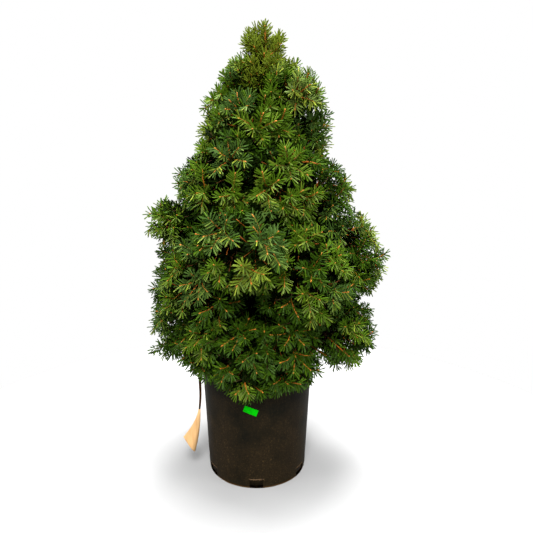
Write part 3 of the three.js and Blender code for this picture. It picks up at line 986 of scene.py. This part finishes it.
# %% Inner twigs
GOLDEN = math.radians(137.5)
INNER_REACH = [0.23, 0.45, 0.62, 0.72, 0.76], [0.110, 0.100, 0.085, 0.060, 0.035]  # at these heights
shoots["inner"] = []
for k, height in enumerate(np.arange(0.235, 0.76, 0.0017)):
    reach = np.interp(height, *INNER_REACH) * growth_rng.uniform(0.5, 1.1)
    bearing = k * GOLDEN + growth_rng.normal(0, 0.3)
    start = trunk_axis(height)
    end = start + unit(np.array([math.cos(bearing), math.sin(bearing), growth_rng.uniform(0.1, 0.5)])) * reach
    shoots["inner"].append(Shoot(start, (start + end) / 2 - 4 * MM * UP, end, k, INNER))
print(len(shoots["inner"]), "inner twigs")

# %% [markdown]
# ## The leader and its whorls
# The two highest masses have no bough. There the trunk is this year's leader, and shoots
# leave it in whorls, steeper and shorter the higher they are. Each reaches as far as the
# skin of its mass, and the longer ones carry a pair of side shoots.

# %% Whorls at the top
SHORTEST = 9 * MM   # a shoot with less room than this is left out
BRANCHED = 38 * MM  # one longer than this carries side shoots


def whorl_shoots(table):
    """The shoots of a table of whorls, each as long as the two masses allow at its bearing and rise."""
    points, corners, _ = joined(["foliage_crown_whorl", "foliage_crown_tip"])
    skin = BVHTree.FromPolygons(points.tolist(), corners.tolist())
    rows = []
    for level, rise, bearings in table:
        for bearing in np.radians(bearings) + growth_rng.normal(0, 0.08, len(bearings)):
            start = trunk_axis((level + growth_rng.uniform(-2, 2)) * MM)
            lead = unit(np.array([math.cos(bearing), math.sin(bearing), math.tan(math.radians(rise))]))
            hit = skin.ray_cast((start + lead * FAR).tolist(), (-lead).tolist(), FAR)
            reach = (FAR - hit[3] if hit[0] is not None else 0) - growth_rng.uniform(3, 8) * MM
            if reach < SHORTEST:
                continue
            end = start + lead * reach
            bend = (start + end) / 2 - 0.16 * reach * UP
            rows.append(Shoot(start, bend, end, len(rows), OUTER))
            if reach > BRANCHED:
                for side in (-1, 1):
                    joint = bezier(start, bend, end, 0.5 + 0.08 * side)
                    turned = unit(lead + side * 0.75 * unit(np.cross(lead, UP)))
                    tip = joint + turned * reach * growth_rng.uniform(0.36, 0.48)
                    rows.append(Shoot(joint, (joint + tip) / 2 - 1 * MM * UP, tip, len(rows), OUTER))
    return rows


# height in mm, rise and bearings in degrees, 0 being the right-hand side and -90 the front
shoots["crown_whorl"] = whorl_shoots([
    (718, 8, [-5, 40, 80, 118, 150, 185, 215, 240, 296, 330]),
    (731, 10, [-28, 18, 62, 100, 140, 170, 204, 238, 276, 304]),
    (744, 12, [-12, 30, 78, 122, 158, 192, 226, 258, 288, 318]),
    (757, 12, [-34, 8, 52, 98, 142, 178, 210, 246, 284])])
shoots["crown_tip"] = whorl_shoots([
    (764, 10, [-18, 38, 84, 130, 174, 228, 296]), (777, 20, [8, 60, 114, 186, 262]),
    (786, 36, [-24, 62, 118, 205]), (789, 52, [36, 90, 144, 186]), (806, 60, [170, 262])])
leader = Shoot(trunk_axis(trunk_top - 40 * MM), trunk_axis(trunk_top - 17 * MM),
               trunk_axis(trunk_top) + np.array([-2 * MM, 0, 7 * MM]), 0, WHORL)
shoots["crown_tip"].append(leader)
kinds = np.bincount([row.kind for rows in shoots.values() for row in rows])
print("shoots of each kind, from the outside in, then the top:", kinds.tolist())

# %% [markdown]
# ## Needle colours
# A needle's green depends on its age and on the light, and here the light is painted in. The
# outermost sprays take the fresh greens, lighter the further a spray stands out: painted light.
# The ones behind and in the clefts take darker greens, down to nearly black: painted shade. The
# undersides carry two pale lines that make them look grey.
# Small areas of colour could be painted with noise, but the needles are so narrow that noise
# would muddle them. Each needle has one plain colour instead, dealt out by its spray, by
# whether it points down, and for a few at random.

# %% Needle tints
outer_ends = np.array([row.end for rows in shoots.values() for row in rows if row.kind in (OUTER, WHORL)])
outer_reach = reach_of(outer_ends)
REACH_LEVELS = np.linspace(0.22, 0.82, 9)
REACHES = [np.quantile(outer_reach[np.abs(outer_ends[:, 2] - level) < 0.05], 0.8) for level in REACH_LEVELS]
TINTS = [
    # name, base colour, shine
    # the deep and dark tints are painted shade: nearly black needles for the inside of the plant, where the
    # shade falls
    ("needle_deep_painted_shade", (0.0006, 0.0014, 0.0002), 0.0),
    ("needle_dark_painted_shade", (0.0034, 0.0080, 0.0006), 0.01),
    ("needle_mid", (0.0150, 0.0360, 0.0016), 0.02),
    ("needle_fresh", (0.0345, 0.069, 0.0030), 0.02),
    ("needle_bright", (0.076, 0.108, 0.0090), 0.03),
    ("needle_pale", (0.140, 0.175, 0.018), 0.04),
    ("needle_blue", (0.024, 0.049, 0.0080), 0.02),
    ("needle_silver", (0.065, 0.098, 0.016), 0.03),
    ("needle_olive", (0.060, 0.080, 0.005), 0.02),
]
DEEP_SHADE, DARK_SHADE, MID, FRESH, BRIGHT, PALE, BLUE, SILVER, OLIVE = range(len(TINTS))
needle_finishes = [plain(name, colour, 0.5, shine) for name, colour, shine in TINTS]
# what each tint turns into: on a needle that stands out by chance, and on an underside
LIGHTER = np.array([DEEP_SHADE, MID, FRESH, BRIGHT, BRIGHT, PALE, FRESH, PALE, BRIGHT])
BENEATH = np.array([DEEP_SHADE, DARK_SHADE, BLUE, SILVER, SILVER, PALE, SILVER, PALE, FRESH])
LIGHTER_SHARE, BENEATH_SHARE = 0.12, 0.45
# painted light and shade by how far a spray stands out: below this share of the usual reach it takes the first
# tint of its palette, and further out later ones, which are mostly lighter
SHADED_REACH, LIT_SPAN = 0.70, 0.50  # shares of the usual reach: dullest up to it, freshest that much on


def painted_light_share(rows):
    """How much painted light each spray gets, from 0 to 1: how far it stands out for its height, and chance."""
    spray = np.array([row.spray for row in rows])
    ends = np.array([row.end for row in rows])
    count = spray.max() + 1
    chance = growth_rng.normal(0, 0.13, count)
    proud = reach_of(ends) / np.interp(ends[:, 2], REACH_LEVELS, REACHES)
    own = np.bincount(spray, proud, count) / np.maximum(np.bincount(spray, minlength=count), 1)
    return np.clip((own[spray] - SHADED_REACH) / LIT_SPAN + chance[spray], 0, 0.999)


def deal_tints(palette, lit_share, owner, way):
    """A tint for each needle: its spray's own, a paler one if it points down, at times a lighter one."""
    tint = np.array(palette)[(lit_share * len(palette)).astype(int)][owner]
    chance = growth_rng.random((2, len(owner)))
    tint = np.where((way[:, 2] < -0.25) & (chance[0] < BENEATH_SHARE), BENEATH[tint], tint)
    return np.where(chance[1] < LIGHTER_SHARE, LIGHTER[tint], tint)


print(len(TINTS), "needle colours; outer shoots reach", np.round(REACHES, 3).tolist())

# %% [markdown]
# ## A needle
# A spruce needle is stiff, blunt and four-sided, about 16 mm long on this plant and barely
# 1 mm thick. Here it is 2 mm thick or more, so that some 126,000 needles cover what a few
# times as many do on the plant. Three sides are enough for that. The needles that show
# have a ring at the foot, one just short of the blunt tip, and the tip: ten triangles. Those
# inside make do with six: a point, one ring and a point.

# %% One needle
def pointed_faces(first, rings, sides):
    """Triangles from ring to ring and on to one last point. The first ring starts at a number."""
    faces = []
    last = first + sides * (rings - 1)
    for low in range(first, last, sides):
        for k in range(sides):
            n = (k + 1) % sides
            faces += [(low + k, low + n, low + sides + n), (low + k, low + sides + n, low + sides + k)]
    return faces + [(last + sides, last + k, last + (k + 1) % sides) for k in range(sides)]


NEEDLE_SHAPES = {
    # shares along the needle and half widths of its rings, and whether its foot is a point
    "fine": ([0.0, 0.88], [0.75, 1.0], False),
    "plain": ([0.78], [1.0], True),
}


def needle_faces(rings, pointed):
    """The triangles of one three-sided needle: its foot, then its rings and its tip."""
    foot = [(0, 1 + (k + 1) % 3, 1 + k) for k in range(3)] if pointed else [(0, 2, 1)]
    return np.array(foot + pointed_faces(1 if pointed else 0, rings, 3))


def needle_points(base, way, along, length, radius, shape):
    """Rings round a line from base along way that bows towards the shoot's tip, then the needle's tip."""
    stations, widths, pointed = NEEDLE_SHAPES[shape]
    e1 = unit(np.cross(way, along))
    e2 = np.cross(way, e1)
    bend = unit(along - way * (along * way).sum(1)[:, None])
    parts = [base] if pointed else []
    for station, width in zip(stations, widths):
        sag = 0.16 * station * (1 - station) * length
        middle = base + way * (station * length)[:, None] - bend * sag[:, None]
        for a in full_turn(3):
            parts.append(middle + radius * width * (e1 * np.cos(a) + e2 * np.sin(a)))
    return np.stack(parts + [base + way * length[:, None]], 1)


print("a fine needle has", len(needle_faces(2, False)), "triangles, a plain one", len(needle_faces(1, True)))

# %% [markdown]
# The needles stand round the shoot in the same golden spiral as leaves do. They crowd
# towards the tip, where they splay into the round stars that show all over this plant. The
# ones at the very tip point forwards round the bud. On the leader and on the inner twigs they
# stand all along the shoot instead.

# %% Needles on a shoot
ON_TWIG = 0.26             # this share of a star's needles stands back along the twig
STAR_DEPTH = 17 * MM       # the rest crowd into this length behind the tip
LEAN_AT = [0, 1, 4, 12, 40]  # mm behind the tip, for the degrees between needle and shoot below
BRUSH_LEAN, STAR_LEAN = [18, 40, 58, 66, 60], [16, 36, 60, 68, 58]
FULL_LENGTH = [0, 0.2, 0.9, 1], [0.75, 0.95, 1, 0.85]  # needles are shorter at both ends of a shoot
PARTED_ABOVE, PARTED_BELOW = 0.7, 0.3  # how far needles part on a level shoot


def places_along(share, span, brush):
    """How far behind the tip each needle stands: evenly on a brush, else mostly close to the tip."""
    if brush:
        return (1 - share) ** 1.5 * span * 0.85
    on_twig = np.interp(share, [0, ON_TWIG], [0.8, 0.0]) * span + 14 * MM
    in_star = (1 - (share - ON_TWIG) / (1 - ON_TWIG)).clip(0) ** 1.15 * STAR_DEPTH
    return np.where(share < ON_TWIG, on_twig, in_star)


def hang(height):
    """How far needles hang: drooping over the pot, level in the middle, lifted at the top."""
    return np.interp(height, [0.22, 0.45, 0.62, 0.80], [-0.30, -0.16, 0.05, 0.30])


def needles(rows, per_shoot, length, radius, shape, brush):
    """All needles on some shoots: their points, faces, shoot and way."""
    p0, p1, p2 = bends(rows)
    owner = np.repeat(np.arange(len(rows)), per_shoot)
    order = np.tile(np.arange(per_shoot), len(rows))
    share = (order + growth_rng.random(len(owner))) / per_shoot
    span = np.linalg.norm(p2 - p0, axis=1)[owner]
    back = places_along(share, span, brush)
    t = np.clip(1 - back / span, 0.08, 1.0)[:, None]
    base = bezier(p0[owner], p1[owner], p2[owner], t)
    along = bezier_way(p0[owner], p1[owner], p2[owner], t)
    out = unit(away_from_trunk(base) + 0.6 * UP)
    upper = out - along * (out * along).sum(1)[:, None]
    lying = np.linalg.norm(upper, axis=1)[:, None]
    upper = upper / lying.clip(0.05)
    side = np.cross(along, upper)
    angle = (order * GOLDEN + growth_rng.normal(0, 0.2, len(owner)))[:, None]
    parted = np.where(np.sin(angle) > 0, 1 - PARTED_ABOVE * lying, 1 - PARTED_BELOW * lying)
    radial = unit(side * np.cos(angle) + upper * np.sin(angle) * parted)
    lean = np.interp(back / MM, LEAN_AT, BRUSH_LEAN if brush else STAR_LEAN)
    lean = np.radians(lean + growth_rng.normal(0, 7, len(owner)))[:, None]
    droop = UP * hang(base[:, 2])[:, None]
    way = unit(along * np.cos(lean) + radial * np.sin(lean) + droop)
    own_length = length * growth_rng.normal(1, 0.06, len(owner)) * np.interp(share, *FULL_LENGTH)
    points = needle_points(base, way, along, own_length, radius, shape)
    pattern = needle_faces(len(NEEDLE_SHAPES[shape][0]), NEEDLE_SHAPES[shape][2])
    return points.reshape(-1, 3), repeated(pattern, len(owner), points.shape[1]), owner, way


# %% [markdown]
# ## The masses of needles
# One piece for each mass, so that each stays well under the size at which a mesh is thinned
# out, and each stands for one solid of the CAD model. The sprays draw their tint from a short
# palette for their kind.

# %% Needle pieces
# each palette is read by a spray's painted light, its first tints going to the sprays that stand out least; the
# palettes of the kinds behind the outer sprays are dark, painted shade
LIGHT_MIX = [MID, MID, FRESH, BLUE, FRESH, MID, FRESH, BLUE, BRIGHT]
SHADE_MIX = [DARK_SHADE, DEEP_SHADE, DARK_SHADE, MID]
CLEFT_SHADE_MIX = [DARK_SHADE, DARK_SHADE, DARK_SHADE, MID, MID]
INNER_SHADE_MIX = [DEEP_SHADE, DARK_SHADE, MID, MID]
TOP_MIX = [OLIVE, BRIGHT, FRESH, SILVER, BRIGHT, OLIVE, BRIGHT]
# masses that differ from the rest, by the first word of the name: high up, both the outer sprays
# and those in the clefts are paler, and so are the clefts of the skirt; in the clefts and behind
# the outer sprays these paler tints are painted light, where light reaches them
OWN_MIXES = {
    ("crown", OUTER): TOP_MIX,
    ("neck", OUTER): [FRESH, BLUE, BRIGHT, FRESH, SILVER, FRESH, BRIGHT],
    ("neck", SECOND): [MID, DARK_SHADE, MID],
    ("neck", CLEFT): [MID, FRESH, BLUE, MID],
    ("neck", SIDE): [DARK_SHADE, MID],
    ("skirt", SECOND): [DARK_SHADE, MID, DARK_SHADE, MID],
    ("skirt", CLEFT): [MID, DARK_SHADE, MID, FRESH],
}
GRADES = {
    # needles to a shoot, length, half width, shape, palette, a brush
    OUTER: (40, 17.0 * MM, 1.02 * MM, "fine", LIGHT_MIX, False),
    SECOND: (28, 17.0 * MM, 1.6 * MM, "plain", SHADE_MIX, False),
    CLEFT: (28, 17.0 * MM, 1.7 * MM, "plain", CLEFT_SHADE_MIX, False),
    SIDE: (12, 17.0 * MM, 1.7 * MM, "plain", INNER_SHADE_MIX, False),
    INNER: (32, 18.0 * MM, 2.0 * MM, "plain", INNER_SHADE_MIX, True),
    WHORL: (50, 18.0 * MM, 1.0 * MM, "fine", TOP_MIX, True),
}


def needle_piece(mass):
    """The needles of one mass, joined into one piece."""
    parts, tints = [], []
    for kind, (per_shoot, length, radius, shape, palette, brush) in GRADES.items():
        rows = [row for row in shoots[mass] if row.kind == kind]
        if rows:
            points, faces, owner, way = needles(rows, per_shoot, length, radius, shape, brush)
            palette = OWN_MIXES.get((mass.split("_")[0], kind), palette)
            tint = deal_tints(palette, painted_light_share(rows), owner, way)
            parts.append((points, faces))
            tints.append(np.repeat(tint, len(faces) // len(owner)))
    stands_for = ["foliage_" + mass] if mass in masses else []
    make_piece("needles_" + mass, *one_mesh(parts), needle_finishes, "foliage", stands_for,
               np.concatenate(tints), smooth=False)


for mass in shoots:
    needle_piece(mass)

# %% [markdown]
# ## Twigs
# Young twigs are orange and show wherever a spray opens. Older ones inside are dark brown.
# Each is a tube of three to six sides that thins along its curve. They are far too many and
# too thin for bark relief, so the young ones take three close tones, dealt out by spray.

# %% Twigs
def tubes(rows, radii, sides, steps):
    """Tapering tubes along many curves at once, each closed by pinching its two ends."""
    p0, p1, p2 = (points[:, None] for points in bends(rows))
    t = np.concatenate([[0], np.linspace(0, 1, steps + 1), [1]])[None, :, None]
    radius = radii[:, :1] + (radii[:, 1:] - radii[:, :1]) * t[..., 0]
    radius[:, [0, -1]] = 0
    points = rings_on(bezier(p0, p1, p2, t), bezier_way(p0, p1, p2, t), radius[..., None, None], sides)
    faces = repeated(grid_faces(steps + 3, sides, True), len(rows), (steps + 3) * sides)
    return points.reshape(-1, 3), faces


def rows_of(*wanted):
    """All shoots of the wanted kinds."""
    return [row for rows in shoots.values() for row in rows if row.kind in wanted]


young_finishes = [plain("twig_orange", (0.25, 0.072, 0.006), 0.55, 0.1),
                  plain("twig_amber", (0.17, 0.045, 0.004), 0.6, 0.1),
                  plain("twig_russet", (0.085, 0.026, 0.005), 0.6, 0.1)]
old_finish = plain("twig_old", (0.030, 0.013, 0.005), 0.8, 0.1)
# half widths in mm at the foot and at the tip; shoots above half a metre are up to 1.4 times as stout
GIRTH = {OUTER: [1.25, 0.9], SECOND: [0.85, 0.6], WHORL: [1.5, 1.1]}

young = rows_of(OUTER, SECOND, WHORL)
stout = np.interp([row.end[2] for row in young], [0.5, 0.75], [1.0, 1.4])[:, None]
points, faces = tubes(young, np.array([GIRTH[row.kind] for row in young]) * stout * MM, 4, 3)
tone = np.repeat(np.array([row.spray for row in young]) % 3, len(faces) // len(young))
make_piece("twigs_young", points, faces, young_finishes, "bark", kind=tone)
inner = rows_of(CLEFT, SIDE, INNER)
inner_radii = np.array([[0.9, 0.6]] * len(inner)) * MM
make_piece("twigs_inner", *tubes(inner, inner_radii, 3, 2), [old_finish], "bark")
all_stems = [row for rows in stems.values() for row in rows]
stem_radii = np.array([[row.foot_radius, row.end_radius] for row in all_stems])
make_piece("twigs_old", *tubes(all_stems, stem_radii, 6, 5), [old_finish], "bark")

# %% [markdown]
# ## Buds
# Each outer shoot ends in a small orange bud, in the middle of its star of needles. The one
# on the leader is larger and already pale green.

# %% Buds
def buds(place, way, length, radius, sides):
    """Egg shapes: three rings that swell and shrink along the way, a point and a flat foot."""
    size = growth_rng.uniform(0.75, 1.15, len(place))[:, None, None]
    parts = [place[:, None] + rings_on(way * along * length, way, wide * radius, sides) * size
             for along, wide in ((-0.25, 0.55), (0.15, 1.0), (0.6, 0.75))]
    points = np.concatenate(parts + [place[:, None] + way[:, None] * length * size], 1)
    faces = np.array(pointed_faces(0, 3, sides) + [(0, k + 1, k) for k in range(1, sides - 1)])
    return points.reshape(-1, 3), repeated(faces, len(place), points.shape[1])


def shoot_ends(rows):
    """The end of each shoot and the way it points."""
    p0, p1, p2 = bends(rows)
    return p2, bezier_way(p0, p1, p2, 1.0)


bud_finish = plain("bud_orange", (0.30, 0.095, 0.008), 0.5, 0.2)
make_piece("buds", *buds(*shoot_ends(rows_of(OUTER, WHORL)), 3.6 * MM, 1.3 * MM, 5), [bud_finish], "bark")
green_finish = plain("bud_green", (0.10, 0.21, 0.05), 0.5, 0.2)
make_piece("bud_leader", *buds(*shoot_ends([leader]), 6 * MM, 2.2 * MM, 12), [green_finish], "bark")

# %% [markdown]
# ## The strap
# The tag hangs from a flat dark strap that runs up to a low twig just outside the rim. It
# is a ribbon whose middle line has a slight S bend, whose width narrows towards the card, and
# which turns a little about its own length.

# %% Strap
strap_low, strap_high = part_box("tag_strap")
strap_foot = np.array([0.7 * strap_low.x + 0.3 * strap_high.x, (strap_low.y + strap_high.y) / 2,
                       strap_low.z - 1 * MM])
strap_head = np.array([strap_high.x - 2 * MM, strap_foot[1], strap_high.z + 16 * MM])


def strap_sheet(rows=46, columns=5):
    """A ribbon from the card up to the twig: it sways as a sine, widens from 3 to 6 mm and turns."""
    t = np.linspace(0, 1, rows)[:, None]
    middle = strap_foot + (strap_head - strap_foot) * t
    middle[:, :1] += 0.9 * MM * np.sin(2 * np.pi * t)
    half = np.interp(t, [0, 0.08, 0.5, 1], [1.5 * MM, 2.2 * MM, 2.6 * MM, 3.0 * MM])
    turned = 0.2 + 0.45 * np.sin(4 * t)
    side = np.concatenate([np.cos(turned), np.sin(turned), 0 * t], 1)
    u = np.linspace(-1, 1, columns)[None, :, None]
    cup = 0.5 * MM * (u**2) * np.array([0, -1.0, 0])
    return middle[:, None] + side[:, None] * (u * half[:, None]) + cup


strap_finish = patterned("strap_brown", 700, [
    (0.35, (0.004, 0.0018, 0.0006)), (0.50, (0.022, 0.0080, 0.0018)), (0.64, (0.090, 0.032, 0.005))],
    0.55, 0.2 * MM, 0.06, stretch=(1, 1, 0.15))
make_piece("tag_strap_ribbon", *slab(strap_sheet(), 1.0 * MM), [strap_finish], "tag_strap", ["tag_strap"])
